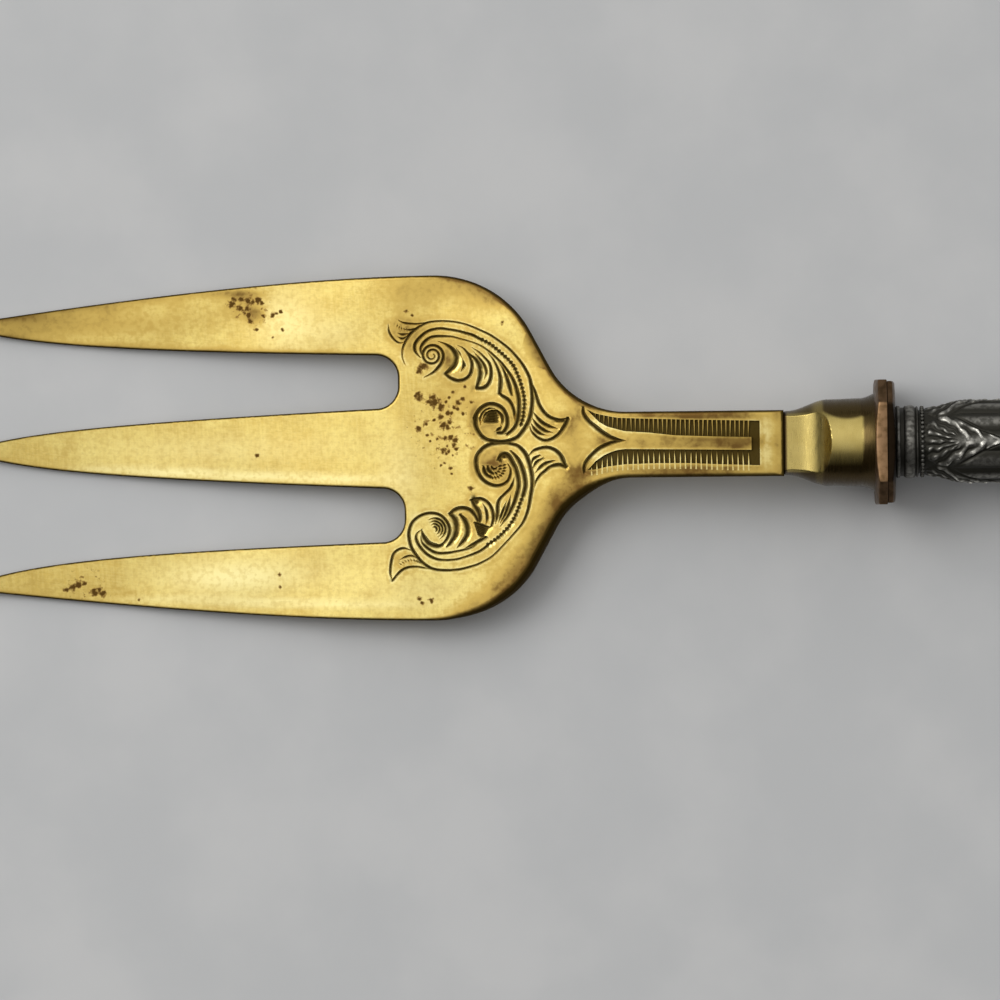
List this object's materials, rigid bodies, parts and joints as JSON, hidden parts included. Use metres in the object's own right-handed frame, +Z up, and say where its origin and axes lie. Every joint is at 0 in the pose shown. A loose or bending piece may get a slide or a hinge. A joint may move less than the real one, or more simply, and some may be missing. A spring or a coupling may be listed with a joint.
{
  "type": "bread fork",
  "caption": "Brass serving fork with broad flat tines, an engraved palm, a comb ornament on the neck, a square bolster and collar and a stamped silver handle.",
  "frame": {"origin": "middle of the collar's lower flat, on the table", "axes": "+X along the handle away from the tines, +Z up out of the engraved face"},
  "size_m": [0.251, 0.0566, 0.0208],
  "materials": {
    "blade_brass": "worn, cross brushed, stained brown in places",
    "bolster_brass": "satin, dark in the corners",
    "collar_red_brass": "dull, copper coloured",
    "handle_silver": "stamped silver, dark tarnish in the hollows",
    "handle_pitch": "black pitch"
  },
  "bodies": {
    "root": {"fork_blade": "blade_brass", "bolster": "bolster_brass", "collar": "collar_red_brass", "handle_ferrule": "handle_silver", "handle_front_shell": "handle_silver", "handle_back_shell": "handle_silver", "pitch_filling": "handle_pitch"}
  },
  "joints": []
}
